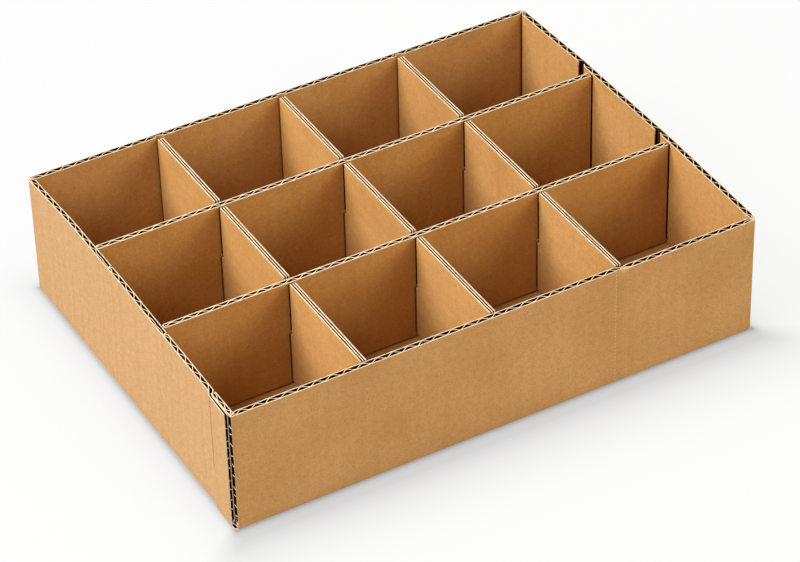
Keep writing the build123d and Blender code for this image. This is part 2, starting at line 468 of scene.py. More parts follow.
class Graph:
    """Adds and links the shader nodes of one material."""

    def __init__(self, name: str) -> None:
        """Start a material with no nodes in it.

        Args:
            name: Name of the material.
        """
        self.material = bpy.data.materials.new(name)
        self.material.use_nodes = True
        self.tree = self.material.node_tree
        self.tree.nodes.clear()

    def add(self, kind: str, inputs: dict | None = None, **settings: object) -> bpy.types.Node:
        """Add a node.

        Args:
            kind: Type of the node, without its ShaderNode prefix.
            inputs: Values or sockets to give to its inputs, by name or number.
            **settings: Properties to set on the node.

        Returns:
            The new node.
        """
        made = self.tree.nodes.new("ShaderNode" + kind)
        for key, value in settings.items():
            setattr(made, key, value)
        for key, value in (inputs or {}).items():
            if isinstance(value, bpy.types.NodeSocket):
                self.tree.links.new(value, made.inputs[key])
            else:
                made.inputs[key].default_value = value
        return made

    def noise(
        self, place: bpy.types.NodeSocket, scale: float, detail: float = 2.0
    ) -> bpy.types.NodeSocket:
        """A noise value at a place, about 0.5 on average."""
        made = self.add("TexNoise", {"Vector": place, "Scale": scale, "Detail": detail})
        return made.outputs["Fac"]

    def ranged(
        self, value: bpy.types.NodeSocket, span: tuple, to: tuple = (0.0, 1.0)
    ) -> bpy.types.NodeSocket:
        """A value brought from one span to another, and held inside it."""
        ends = {"From Min": span[0], "From Max": span[1], "To Min": to[0], "To Max": to[1]}
        return self.add("MapRange", {"Value": value, **ends}).outputs["Result"]

    def math(self, operation: str, first: object, second: object = 0.0) -> bpy.types.NodeSocket:
        """The result of one sum."""
        return self.add("Math", {0: first, 1: second}, operation=operation).outputs[0]

    def blend(
        self, share: object, first: object, second: object, how: str = "MIX"
    ) -> bpy.types.NodeSocket:
        """Two colours blended by a share."""
        made = self.add("Mix", {0: share, 6: first, 7: second}, data_type="RGBA", blend_type=how)
        return made.outputs[2]

    def finished(
        self, colour: object, roughness: float, shine: float, relief: object, strength: float
    ) -> bpy.types.Material:
        """End the material in a shader.

        Args:
            colour: Colour of the surface.
            roughness: Its roughness.
            shine: Its specular level.
            relief: Height of its relief, in metres.
            strength: How strongly the relief shows.

        Returns:
            The finished material.
        """
        bump = self.add("Bump", {"Height": relief, "Strength": strength, "Distance": 1.0})
        shader = self.add(
            "BsdfPrincipled",
            {
                "Base Color": colour,
                "Roughness": roughness,
                "Specular IOR Level": shine,
                "Normal": bump.outputs[0],
            },
        )
        self.add("OutputMaterial", {"Surface": shader.outputs[0]})
        return self.material


def srgb(red: int, green: int, blue: int) -> tuple[float, float, float, float]:
    """A colour as the linear values of a shader.

    Args:
        red: Its red in an image, 0 to 255.
        green: Its green.
        blue: Its blue.

    Returns:
        Red, green and blue as shares of the light, and 1 for opaque.
    """
    shares = np.array([red, green, blue]) / 255
    linear = np.where(shares <= 0.04045, shares / 12.92, ((shares + 0.055) / 1.055) ** 2.4)
    return (*linear.tolist(), 1.0)


@dataclass(frozen=True)
class KraftLiner:
    """Brown kraft liner: a cloudy sheet with fine fibres, dark flecks and faint flutes.

    pale and deep are the two tones of its clouds, and side is a painted light tone on the
    tray's left face: less saturated, for the washed-out look of the face that the key lamp
    lights most. fleck is the tone of its flecks and hole that of its perforation. Places are
    in metres.
    """

    name: str = "outer_liner"
    pale: tuple = srgb(203, 154, 97)
    deep: tuple = srgb(192, 142, 85)
    fleck: tuple = srgb(120, 72, 30)
    side: tuple = srgb(185, 144, 98)
    hole: tuple = srgb(236, 206, 160)
    shine: float = 0.25
    roughness: float = 0.78
    cloud_scale: float = 22.0
    streak_scale: float = 260.0
    mottle_scale: float = 300.0
    fleck_scale: float = 420.0
    grain_scale: float = 1000.0
    fuzz_scale: float = 2600.0
    fuzz_depth: float = 0.00006
    flute_depth: float = 0.00002
    relief_strength: float = 0.6
    dot_spacing: float = 0.0012
    front_rows: tuple = (0.0735, 0.0812)
    left_rows: tuple = (-0.0453, 0.0245)
    tab_line_place: float = 0.0212
    tab_line_foot: float = 0.030

    def dots(self, g: Graph, place: bpy.types.NodeSocket, low: Vector) -> bpy.types.NodeSocket:
        """Share of perforation dots: two upright rows on the front wall and two on the left one.

        Those on the front wall are pale and count as positive, and those on the left wall
        are dark and count as negative.

        Args:
            g: Graph to add to.
            place: Place in metres.
            low: Lowest corner of the tray.

        Returns:
            The share, from -1 to 1.
        """
        x, y, z = g.add("SeparateXYZ", {0: place}).outputs
        step = g.math("PINGPONG", z, self.dot_spacing)
        round_z = g.ranged(step, (0.0, 0.0009), (1.0, 0.0))
        front = g.ranged(y, (low.y + 0.0006, low.y + 0.0009), (1.0, 0.0))
        left = g.ranged(x, (low.x + 0.0042, low.x + 0.0046), (1.0, 0.0))
        places = [(x, front, at) for at in self.front_rows]
        places += [(y, left, at) for at in self.left_rows]
        rows = []
        for axis, face, at in places:
            away = g.math("ABSOLUTE", g.math("SUBTRACT", axis, at))
            rows.append(g.math("MULTIPLY", g.ranged(away, (0.0001, 0.0005), (1.0, 0.0)), face))
        upper = g.ranged(z, (0.022, 0.03))
        on_left = g.math("MULTIPLY", g.math("MULTIPLY", rows[3], upper), -0.7)
        on_left = g.math("ADD", on_left, g.math("MULTIPLY", rows[2], -0.2))
        on_front = g.math("ADD", rows[0], g.math("MULTIPLY", rows[1], 0.45))
        return g.math("MULTIPLY", g.math("ADD", on_front, on_left), round_z)

    def tab_line(self, g: Graph, place: bpy.types.NodeSocket, low: Vector) -> bpy.types.NodeSocket:
        """Share of the faint upright line where the glued tab ends behind the left wall.

        Args:
            g: Graph to add to.
            place: Place in metres.
            low: Lowest corner of the tray.

        Returns:
            The share, at most 0.75.
        """
        y, z = g.add("SeparateXYZ", {0: place}).outputs[1:]
        away = g.math("ABSOLUTE", g.math("SUBTRACT", y, low.y + self.tab_line_place))
        above = g.ranged(z, (self.tab_line_foot, self.tab_line_foot + 0.001))
        line = g.math("MULTIPLY", g.ranged(away, (0.0001, 0.0007), (0.75, 0.0)), above)
        return g.math("MULTIPLY", line, self.left_face(g, place, low))

    def left_face(self, g: Graph, place: bpy.types.NodeSocket, low: Vector) -> bpy.types.NodeSocket:
        """Share of the tray's left face, 1 on it and 0 elsewhere."""
        x = g.add("SeparateXYZ", {0: place}).outputs[0]
        return g.ranged(x, (low.x + 0.0038, low.x + 0.0043), (1.0, 0.0))

    def fibres(
        self, g: Graph, place: bpy.types.NodeSocket, on_left: bpy.types.NodeSocket
    ) -> bpy.types.NodeSocket:
        """Tone of the fibres, about 1: fine mottle times grain, plus upright streaks.

        Args:
            g: Graph to add to.
            place: Place in metres.
            on_left: Share of the left face, on which the streaks are stronger.

        Returns:
            The tone.
        """
        mottle = g.ranged(g.noise(place, self.mottle_scale, 4.0), (0.3, 0.7), (0.94, 1.06))
        grain = g.ranged(g.noise(place, self.grain_scale, 3.0), (0.3, 0.7), (0.87, 1.13))
        drawn = g.add("Mapping", {"Vector": place, "Scale": (1.0, 1.0, 0.04)}).outputs[0]
        streaks = g.ranged(g.noise(drawn, self.streak_scale, 3.0), (0.3, 0.7), (-0.05, 0.05))
        streaks = g.math("MULTIPLY", streaks, g.ranged(on_left, (0.0, 1.0), (0.35, 0.75)))
        return g.math("ADD", g.math("MULTIPLY", mottle, grain), streaks)

    def flecks(self, g: Graph, place: bpy.types.NodeSocket) -> bpy.types.NodeSocket:
        """Share of dark flecks with torn outlines, in some of the cells of a Voronoi pattern.

        Args:
            g: Graph to add to.
            place: Place in metres.

        Returns:
            The share, at most 0.5.
        """
        spots = g.add("TexVoronoi", {"Vector": place, "Scale": self.fleck_scale}, feature="F1")
        fray = g.ranged(g.noise(place, 2400.0, 2.0), (0.3, 0.7), (-0.09, 0.09))
        torn = g.math("ADD", spots.outputs["Distance"], fray)
        dark = g.ranged(torn, (0.08, 0.2), (1.0, 0.0))
        chosen = g.ranged(spots.outputs["Color"], (0.68, 0.8))
        return g.math("MULTIPLY", g.math("MULTIPLY", dark, chosen), 0.5)

    def build(self) -> bpy.types.Material:
        """Make the material.

        Returns:
            The new material.
        """
        g = Graph(self.name)
        place = g.add("TexCoord").outputs["Object"]
        flutes = g.add("UVMap", uv_map=FLUTE_MAP).outputs["UV"]
        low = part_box("tray")[0]
        clouds = g.ranged(g.noise(place, self.cloud_scale, 3.0), (0.32, 0.68))
        colour = g.blend(clouds, self.deep, self.pale)
        # Painted light: the tray's left face takes the less saturated side tone, for its washed-out
        # look under the key lamp.
        on_left = self.left_face(g, place, low)
        colour = g.blend(on_left, colour, self.side)
        wave = g.add("SeparateXYZ", {0: flutes}).outputs[0]
        board = g.math("SINE", g.math("MULTIPLY", wave, 2 * math.pi / (BOARD.pitch * MM)))
        washboard = g.ranged(board, (-1.0, 1.0), (0.988, 1.012))
        tone = g.math("MULTIPLY", self.fibres(g, place, on_left), washboard)
        grey = g.add("CombineColor", {0: tone, 1: tone, 2: tone}).outputs[0]
        colour = g.blend(1.0, colour, grey, "MULTIPLY")
        colour = g.blend(self.flecks(g, place), colour, self.fleck)
        colour = g.blend(self.tab_line(g, place, low), colour, self.fleck)
        dots = self.dots(g, place, low)
        pale_dots = g.math("MULTIPLY", g.math("MAXIMUM", dots, 0.0), 0.6)
        colour = g.blend(pale_dots, colour, self.hole)
        dark_dots = g.math("MULTIPLY", g.math("MAXIMUM", g.math("MULTIPLY", dots, -1.0), 0.0), 0.4)
        colour = g.blend(dark_dots, colour, self.fleck)
        fuzz = g.math("MULTIPLY", g.noise(place, self.fuzz_scale, 4.0), self.fuzz_depth)
        relief = g.math("ADD", fuzz, g.math("MULTIPLY", board, self.flute_depth))
        return g.finished(colour, self.roughness, self.shine, relief, self.relief_strength)


@dataclass(frozen=True)
class CutEdge:
    """Cut edge of the paper, pale and fibrous."""

    name: str = "cut_edge"
    pale: tuple = srgb(240, 223, 196)
    deep: tuple = srgb(214, 182, 142)
    shine: float = 0.1
    roughness: float = 0.95
    torn_scale: float = 650.0
    fuzz_scale: float = 3000.0
    fuzz_depth: float = 0.0001
    relief_strength: float = 0.7

    def build(self) -> bpy.types.Material:
        """Make the material.

        Returns:
            The new material.
        """
        g = Graph(self.name)
        place = g.add("TexCoord").outputs["Object"]
        torn = g.ranged(g.noise(place, self.torn_scale, 4.0), (0.35, 0.62))
        colour = g.blend(torn, self.deep, self.pale)
        fuzz = g.math("MULTIPLY", g.noise(place, self.fuzz_scale, 3.0), self.fuzz_depth)
        return g.finished(colour, self.roughness, self.shine, fuzz, self.relief_strength)


@dataclass(frozen=True)
class PaintedShadeFlutes:
    """Inside of the flutes: the medium's brown paper, painted near black as the shade inside the
    board.
    """

    name: str = "flutes_painted_shade"
    # Painted shade: both tones are near black.
    pale: tuple = srgb(66, 31, 10)
    deep: tuple = srgb(24, 7, 1)
    shine: float = 0.0
    roughness: float = 0.95
    patch_scale: float = 300.0
    fuzz_scale: float = 2500.0
    fuzz_depth: float = 0.00006
    relief_strength: float = 0.5

    def build(self) -> bpy.types.Material:
        """Make the material.

        Returns:
            The new material.
        """
        g = Graph(self.name)
        place = g.add("TexCoord").outputs["Object"]
        patches = g.ranged(g.noise(place, self.patch_scale, 3.0), (0.35, 0.65))
        colour = g.blend(patches, self.deep, self.pale)
        fuzz = g.math("MULTIPLY", g.noise(place, self.fuzz_scale, 2.0), self.fuzz_depth)
        return g.finished(colour, self.roughness, self.shine, fuzz, self.relief_strength)


@dataclass(frozen=True)
class Finishes:
    """The finishes of a board, in the order of Surface."""

    outside: bpy.types.Material
    edge: bpy.types.Material
    # The inside of the board, painted near black as shade.
    hidden: bpy.types.Material
    inside: bpy.types.Material

    def in_order(self) -> list:
        """The materials as a mesh's slots."""
        return [self.outside, self.edge, self.hidden, self.inside]


def piece(
    name: str, sheets: Sheets, finishes: Finishes, replaces: str
) -> bpy.types.Object:
    """Make an object of the scene from sheets in plan.

    Args:
        name: Name of the piece.
        sheets: Its mesh, in millimetres, in plan.
        finishes: Its materials.
        replaces: CAD node that it stands for, or an empty text for none.

    Returns:
        The new object, riding on the tray's body.
    """
    low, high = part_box("tray")
    shift = np.array([high.x / MM - PLAN.push - PLAN.length, low.y / MM, low.z / MM])
    points = (WEAR.settled(sheets.points) + shift) * MM
    mesh = bpy.data.meshes.new(name)
    mesh.from_pydata(points.tolist(), [], sheets.quads.tolist())
    for material in finishes.in_order():
        mesh.materials.append(material)
    mesh.polygons.foreach_set("material_index", sheets.kinds.astype(np.int32))
    mesh.polygons.foreach_set("use_smooth", np.ones(len(sheets.quads), bool))
    flutes = sheets.flutes[sheets.quads.ravel()] * MM
    uv_map = mesh.uv_layers.new(name=FLUTE_MAP)
    uv_map.data.foreach_set("uv", flutes.astype(np.float32).ravel())
    mesh.set_sharp_from_angle(angle=math.radians(35))
    mesh.update()
    made = bpy.data.objects.new(name, mesh)
    bpy.context.scene.collection.objects.link(made)
    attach(made, "root")
    if replaces:
        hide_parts(replaces)
    log.info("%s: %d faces", name, len(mesh.polygons))
    return made


@dataclass(frozen=True)
class TrayWrap:
    """The four walls of the tray, folded from one board, with a lap at the front left corner.

    The outer face starts at the end of the glue tab, inside the left wall, goes round the
    tray and comes back as the left wall, whose raw end stands off the tab as the lap.
    left_stations and left_sags say how far the left wall bends in along the width. Its
    board is crushed at two creases and over a band behind each of them, and outer_turn and
    inner_turn are where its two faces turn out to the lap. pinch is how far the crush of a
    folded corner reaches to each side. Sizes are in millimetres.
    """

    fold_radius: float = 3.0
    foot_radius: float = 1.8
    tab_end: float = 23.1
    tab_board: float = 3.0
    lap_board: float = 2.3
    lap_stand_off: float = 1.55
    lap_start_stand_off: float = 1.0
    lap_raw_end: float = 3.6
    front_crease: float = 80.8
    back_crease: float = 150.6
    left_board: float = 3.25
    left_stations: tuple = (25.5, 80.8, 128.0, 150.6, 200.0, 246.0)
    left_sags: tuple = (0.55, 1.2, 1.9, 1.9, 1.9, 0.3)
    outer_turn: tuple = (26.5, 25.5)
    inner_turn: float = 27.5
    band: float = 17.5
    slot_width: float = 4.2
    slot_behind: float = 12.4
    recess_shift: float = 0.6
    recess_width: float = 5.4
    pinch: float = 4.6
    shred_count: int = 10
    shred_spacing: float = 7.1
    shred_thickness: float = 0.3
    heel_thickness: float = 0.5

    @property
    def tab(self) -> float:
        """Where the outer face of the glue tab stands along the length."""
        return BOARD.thickness - self.tab_board

    @property
    def lap_start(self) -> float:
        """Where the lap starts along the width."""
        return self.tab_end - 1.0

    @property
    def left_places(self) -> tuple:
        """Where the left wall's faces are drawn along the width, from the back to the lap."""
        return (236.0, 200.0, 175.0, self.back_crease, 128.0, self.front_crease, 40.0)

    @property
    def slots(self) -> np.ndarray:
        """Middle of each slot of the right wall, along the width."""
        return PLAN.long_y + self.slot_behind

    @property
    def recesses(self) -> np.ndarray:
        """Middle of each recess of the back wall, along the length."""
        return PLAN.cross_x + self.recess_shift

    def push_at(self, y: float) -> float:
        """How far the right wall stands out at a place along the width."""
        stations = [0.0, PLAN.long_y[0] - BOARD.half, self.slots[1], PLAN.width]
        return float(np.interp(y, stations, [0.0, PLAN.push, PLAN.push, 0.0]))

    def sag_at(self, y: float) -> float:
        """How far the left wall bends in at a place along the width.

        Args:
            y: Place along the width.

        Returns:
            The distance, negative where the lap stands off.
        """
        stations = [self.lap_raw_end, self.lap_start, *self.left_stations]
        insets = [-self.lap_stand_off, -self.lap_start_stand_off, *self.left_sags]
        return float(np.interp(y, stations, insets))

    def outer_face(self) -> Trace:
        """The outer face in plan, from the glue tab round the tray to the raw end of the lap.

        Returns:
            The smooth line through the places of its folds, creases and bends.
        """
        r = self.fold_radius
        tab = self.tab
        right = PLAN.length
        back = PLAN.width
        places = [(tab, self.tab_end), (tab, 1.3), (tab + 0.15, 0.4), (1.4, 0.08), (2.6, 0.0)]
        places += arc((right - r, r), r, -90, 0)
        places += [(right + PLAN.push, PLAN.long_y[0] - BOARD.half)]
        places += [(right + self.push_at(y), y) for y in self.slots]
        places += arc((right - r, back - r), r, 0, 90)
        places += arc((r, back - r), r, 90, 180)
        for y in (*self.left_places, *self.outer_turn):
            sag = self.sag_at(y)
            if y in (self.back_crease, self.front_crease):
                places += [(sag - 0.1, y + 1.1), (sag + 0.25, y), (sag, y - 1.1)]
            else:
                places.append((sag, y))
        places += [(self.sag_at(self.lap_start), self.lap_start)]
        places += [(-self.lap_stand_off, self.lap_raw_end)]
        return trace(places, rounding=0.3)

    def outer_liner(self, face: Trace) -> Sheets:
        """The outer liner, rounded under at the foot and cut through at the fold of the tab.

        Args:
            face: The outer face in plan.

        Returns:
            The liner as a closed sheet.
        """
        half = BOARD.liner / 2
        turn = np.radians(np.linspace(0, 90, 6))
        radius = self.foot_radius - half
        insets = half + radius * (1 - np.sin(turn))
        levels = half + radius * (1 - np.cos(turn))
        upper = np.concatenate([np.arange(7.0, 74.0, 5.6), [75.0, 77.5, 79.0, 79.4, PLAN.height]])
        surface, flutes = upright(
            face,
            np.concatenate([levels, upper]),
            np.concatenate([insets, np.full(len(upper), half)]),
        )
        reach = face.reach
        middle = (reach[:-1] + reach[1:]) / 2
        tab_side = face.reach_at((self.tab, self.lap_raw_end + 0.6))
        wall_side = face.reach_at((self.tab + 0.15, 0.4))
        split = (middle > tab_side) & (middle < wall_side)
        heights = surface[0, :, 2]
        under_bridge = (heights[1:] < PLAN.height - 0.9) & (heights[:-1] > 1.5)
        return sheet(surface, BOARD.liner, flutes, ~(split[:, None] & under_bridge[None, :]))

    def hook(
        self, corner: tuple[float, float], outward: tuple[float, float], before: tuple, after: tuple
    ) -> list:
        """Places of the inner liner round a folded corner, pinched out into the board.

        Each lies some way along one of the walls from the corner and some way out of it.
        The second wall has the same places as the first, in reverse.

        Args:
            corner: Inner corner of the fold.
            outward: Direction from the inner corner to the outer one, in signs.
            before: Direction back along the wall before the corner.
            after: Direction on along the wall after the corner.

        Returns:
            Places from one wall to the other.
        """
        profile = [(1.5, 0.0), (0.9, 0.25), (0.35, 1.9)]
        steps = [(before, along, out) for along, out in profile]
        steps += [(after, 0.0, 2.4)]
        steps += [(after, along, out) for along, out in profile[::-1]]
        return [
            tuple(corner[k] + way[k] * along + outward[k] * out for k in (0, 1))
            for way, along, out in steps
        ]

    def inner_liner(self) -> list[Sheets]:
        """The inner liner, in the pieces that the slots and recesses leave of it.

        A slit opens it on the right wall where each long divider ends, up to just below
        the edge, and shows the painted-shade finish inside the board as a dark line there.

        Returns:
            The pieces, each a closed sheet.
        """
        left = front = BOARD.thickness
        right = PLAN.length - BOARD.thickness
        back = PLAN.width - BOARD.thickness
        half_slot = self.slot_width / 2
        half_recess = self.recess_width / 2
        lines = []
        first = [(left, self.tab_end), *self.hook((left, front), (-1, -1), (0, 1), (1, 0))]
        first += self.hook((right, front), (1, -1), (-1, 0), (0, 1))
        push_y = PLAN.long_y[0] - BOARD.half
        first += [(right + PLAN.push, push_y)]
        end = self.slots[0] - half_slot
        first += [(right + self.push_at(end), end - 2.0), (right + self.push_at(end) + 1.3, end)]
        lines.append(first)
        start = self.slots[0] + half_slot
        end = self.slots[1] - half_slot
        middle = [(right + self.push_at(start), start), (right + self.push_at(end), end - 2.0)]
        middle += [(right + self.push_at(end) + 1.3, end)]
        lines.append(middle)
        start = self.slots[1] + half_slot
        run = [(right + self.push_at(start), start)]
        run += self.hook((right, back), (1, 1), (0, -1), (-1, 0))
        for x in self.recesses[::-1]:
            run += [(x + half_recess + 0.5, back), (x + half_recess - 1.0, back + 0.9)]
            run += [(x, back + 1.6), (x - half_recess + 0.3, back + 1.8)]
            lines.append(run)
            run = [(x - half_recess, back)]
        run += self.hook((left, back), (-1, 1), (1, 0), (0, -1))
        for y in (*self.left_places, self.inner_turn):
            x = self.sag_at(y) + self.left_board
            if y in (self.back_crease, self.front_crease):
                run += [(x, y + 1.2), (x - 0.2, y + 0.75), (x - 1.5, y + 0.3), (x - 1.8, y)]
                run += [(x - 1.5, y - 0.3), (x - 0.2, y - 0.75), (x, y - 1.2)]
            else:
                run.append((x, y))
        run += [(left - 0.1, self.tab_end + 2.0), (left - 1.2, self.tab_end + 0.4)]
        run += [(0.75, self.tab_end - 2.8), (0.75, 8.0), (0.65, 4.4), (0.6, 2.9)]
        lines.append(run)
        levels = np.concatenate([[PLAN.floor - 1.5], np.arange(PLAN.foot + 0.5, 74.0, 5.6)])
        levels = np.concatenate([levels, [75.0, 77.5, 79.0, PLAN.height - 0.05]])
        made = []
        for places in lines:
            face = trace(places, rounding=0.22, coarse=0.9)
            line = face.moved(BOARD.liner / 2)
            surface, flutes = upright(line, levels)
            middle = (line.points[:-1] + line.points[1:]) / 2
            # Slit behind each long divider's end: a dark line of painted shade, from the board's
            # inside finish.
            behind = middle[:, 1:2] - PLAN.long_y
            by_divider = ((behind > -1.9) & (behind < 0.9)).any(axis=1)
            by_divider &= middle[:, 0] > right - 1.0
            under_edge = (levels[1:] < PLAN.height - 0.5) & (levels[:-1] > PLAN.foot)
            kept = ~(by_divider[:, None] & under_edge[None, :])
            made.append(sheet(surface, BOARD.liner, flutes, kept, (Surface.HIDDEN, Surface.INSIDE)))
        return made

    def medium(self, face: Trace) -> Sheets:
        """The waved medium between the liners.

        Its middle runs at a depth behind the outer face and swings to both sides as a
        sine of the distance travelled. Where the board is crushed the swing shrinks and
        the depth changes, and the changes are blurred with a bell curve.

        Args:
            face: The outer face in plan.

        Returns:
            The medium as a closed sheet, left out at the slots and recesses.
        """
        step = 0.5
        line = evenly(face, step)
        reach = line.reach
        depth = np.full(len(reach), BOARD.half)
        swing = np.full(len(reach), BOARD.swing)
        back = PLAN.width
        right = PLAN.length
        lap_fold = (0.9, 0.3)
        lap_end = line.reach_at((self.sag_at(27.0), 27.0))
        tab_start = line.reach_at((self.tab, 3.0))
        tab_swing = self.tab_board / 2 - BOARD.liner - BOARD.medium / 2
        left_start = line.reach_at((0.0, back - 5.0))
        left_swing = self.left_board / 2 - BOARD.liner - BOARD.medium * 0.4
        # Each zone has its start and end along the line, its depth and its swing.
        zones = [(left_start, lap_end, self.left_board / 2, left_swing)]
        zones += [(0.0, tab_start, self.tab_board / 2, tab_swing)]
        zones += [(lap_end, reach[-1], self.lap_board / 2, 0.12)]
        for corner in (lap_fold, (right, 0.0), (right, back), (0.0, back)):
            at = line.reach_at(corner)
            zones.append((at - self.pinch, at + self.pinch, 1.15, 0.12))
        for y in (self.back_crease, self.front_crease):
            at = line.reach_at((self.sag_at(y), y))
            zones.append((at - self.band, at, 1.35, 0.16))
            zones.append((at - 1.8, at + 1.8, 0.9, 0.05))
        at = line.reach_at(lap_fold)
        zones.append((at - self.pinch, at + 2.0, 2.7, 0.1))
        for low, high, zone_depth, zone_swing in zones:
            inside = (reach >= low) & (reach <= high)
            depth[inside] = zone_depth
            swing[inside] = zone_swing
        bell = np.exp(-0.5 * (np.arange(-6, 7) * step / 1.0) ** 2)
        bell /= bell.sum()
        depth = np.convolve(np.pad(depth, 6, "edge"), bell, "valid")
        swing = np.convolve(np.pad(swing, 6, "edge"), bell, "valid")
        drift = 0.05 * np.sin(reach / 37) + 0.07 * ripple(reach, reach, 26, 21)
        wave = np.sin(2 * math.pi * (reach / BOARD.pitch + drift))
        uneven = 1 - 0.16 * np.abs(ripple(reach, reach, 17, 22))
        line = line.moved(-(depth + swing * uneven * wave))
        levels = np.array([PLAN.floor - 1.5, 40.0, 74.0, PLAN.height - 0.12])
        surface, flutes = upright(line, levels)
        middle = (line.points[:-1] + line.points[1:]) / 2
        on_right = middle[:, 0] > right - BOARD.thickness
        on_back = middle[:, 1] > back - BOARD.thickness
        in_slot = (np.abs(middle[:, 1:2] - self.slots) < self.slot_width / 2).any(axis=1)
        in_recess = (np.abs(middle[:, 0:1] - self.recesses) < self.recess_width / 2).any(axis=1)
        travelled = (reach[:-1] + reach[1:]) / 2
        in_lap = travelled > lap_end + 0.5
        kept = ~((on_right & in_slot) | (on_back & in_recess) | in_lap)
        cells = np.repeat(kept[:, None], len(levels) - 1, axis=1)
        sides = (Surface.HIDDEN, Surface.HIDDEN)
        return sheet(surface, BOARD.medium, flutes, cells, sides)

    def shreds(self) -> list[Sheets]:
        """Torn bits of the medium that cross the two dark gaps of the lap, one above the other.

        Each is a flat quad from one side of its gap to the other, tilted up or down in
        turn, and 0.7 mm deep.

        Returns:
            The bits, each a closed sheet.
        """
        gaps = (
            ((-self.lap_stand_off + 0.5, self.lap_raw_end + 0.1), (0.65, 3.1), 5.4),
            ((self.tab + 0.05, 3.7), (self.tab + 0.25, 0.45), 8.6),
        )
        count = self.shred_count
        order = np.arange(count)
        made = []
        for seed, (start, end, lowest) in enumerate(gaps):
            random = np.random.default_rng(61 + seed)
            heights = lowest + self.shred_spacing * order + random.uniform(-1.4, 1.4, count)
            tilts = np.where(order % 2 == 0, 0.75, -0.6) * random.uniform(0.4, 1.1, count)
            for height, tilt in zip(heights, tilts):
                plan = np.array([start, end])[:, None, :] + np.array([(0.0, 0.0), (0.3, 0.6)])
                level = height + tilt * np.array([[-1.0, -1.0], [1.0, 1.0]])
                middle = np.concatenate([plan, level[:, :, None]], axis=2)
                sides = (Surface.EDGE, Surface.EDGE)
                made.append(sheet(middle, self.shred_thickness, plan, sides=sides))
        return made

    def heel(self) -> Sheets:
        """The rounded foot under the lap, a ruled surface between an outer and an inner curve.

        Returns:
            The foot as a closed sheet.
        """
        outer = [(-1.3, 4.3, 2.4), (-1.15, 3.3, 1.6), (-0.6, 2.2, 1.0)]
        outer += [(0.1, 1.3, 0.8), (0.9, 0.6, 1.0), (1.6, 0.35, 1.6)]
        inner = [(0.2, 6.0, 0.7), (0.6, 5.0, 0.6), (1.2, 4.0, 0.5)]
        inner += [(1.8, 3.2, 0.5), (2.4, 2.6, 0.5), (3.0, 2.2, 0.6)]
        share = np.linspace(0, 1, 4)[None, :, None]
        middle = np.array(outer)[:, None, :] * (1 - share) + np.array(inner)[:, None, :] * share
        sides = (Surface.HIDDEN, Surface.OUTSIDE)
        return sheet(middle, self.heel_thickness, middle[:, :, :2], sides=sides)

    def build(self, finishes: Finishes) -> bpy.types.Object:
        """Make the walls.

        The left wall's sag is taken back towards its foot, which the flaps hold straight.

        Args:
            finishes: Materials of the board.

        Returns:
            The walls as one piece.
        """
        face = self.outer_face()
        liners = [self.outer_liner(face), *self.inner_liner()]
        sheets = joined([*liners, self.medium(face), *self.shreds(), self.heel()])
        x, y, z = sheets.points.T
        held = np.clip(1 - z / 60, 0, 1) ** 1.5 * np.clip((6 - x) / 4, 0, 1)
        sag = np.interp(y, [24.0, *self.left_stations], [0.0, *self.left_sags])
        sheets.points = np.stack([x - held * sag, y, z], axis=1)
        return piece("tray_walls", sheets, finishes, "tray")


@dataclass(frozen=True)
class BottomFlaps:
    """Two layers of glued flaps.

    The outer pair comes from the long walls and meets along the middle, and the inner pair
    comes from the ends. fold is how far the outer pair stays inside the walls' outer
    faces, end_inset how far the inner pair does at its ends, and side_reach how far the
    inner pair reaches out beside the outer one.
    """

    seam: float = 1.0
    side_gap: float = 1.5
    fold: float = 1.7
    end_inset: float = 2.0
    side_reach: float = 2.0
    lift: float = 0.02

    def slab(self, low: tuple, high: tuple, level: float) -> Sheets:
        """One flap as a flat sheet of board.

        Args:
            low: Lowest corner in plan.
            high: Highest corner in plan.
            level: Height of its underside.

        Returns:
            The flap as a closed sheet.
        """
        across = np.linspace(low[0], high[0], 30)
        along = np.linspace(low[1], high[1], 30)
        x, y = np.meshgrid(across, along, indexing="ij")
        surface = np.stack([x, y, np.full_like(x, level + BOARD.half)], axis=2)
        flutes = np.stack([x, y], axis=2)
        return sheet(surface, BOARD.thickness, flutes, sides=(Surface.INSIDE, Surface.OUTSIDE))

    def build(self, finishes: Finishes) -> bpy.types.Object:
        """Make the four flaps and the feet of the end walls.

        Args:
            finishes: Materials of the board.

        Returns:
            The bottom as one piece.
        """
        t = BOARD.thickness
        inner = t + self.side_gap
        middle = PLAN.width / 2
        half_seam = self.seam / 2
        right = PLAN.length
        low = self.fold
        high = PLAN.width - self.fold
        seam_x = PLAN.cross_x[1]
        near = inner - self.side_reach
        far = PLAN.width - inner + self.side_reach
        upper = t + self.lift
        parts = [
            self.slab((inner, low), (right - inner, middle - half_seam), self.lift),
            self.slab((inner, middle + half_seam), (right - inner, high), self.lift),
            self.slab((low, low), (t, high), self.lift),
            self.slab((right - t, low), (right - self.fold, high), self.lift),
            self.slab((self.end_inset, near), (seam_x - half_seam, far), upper),
            self.slab((seam_x + half_seam, near), (right - self.end_inset, far), upper),
        ]
        return piece("tray_bottom_flaps", joined(parts), finishes, "")


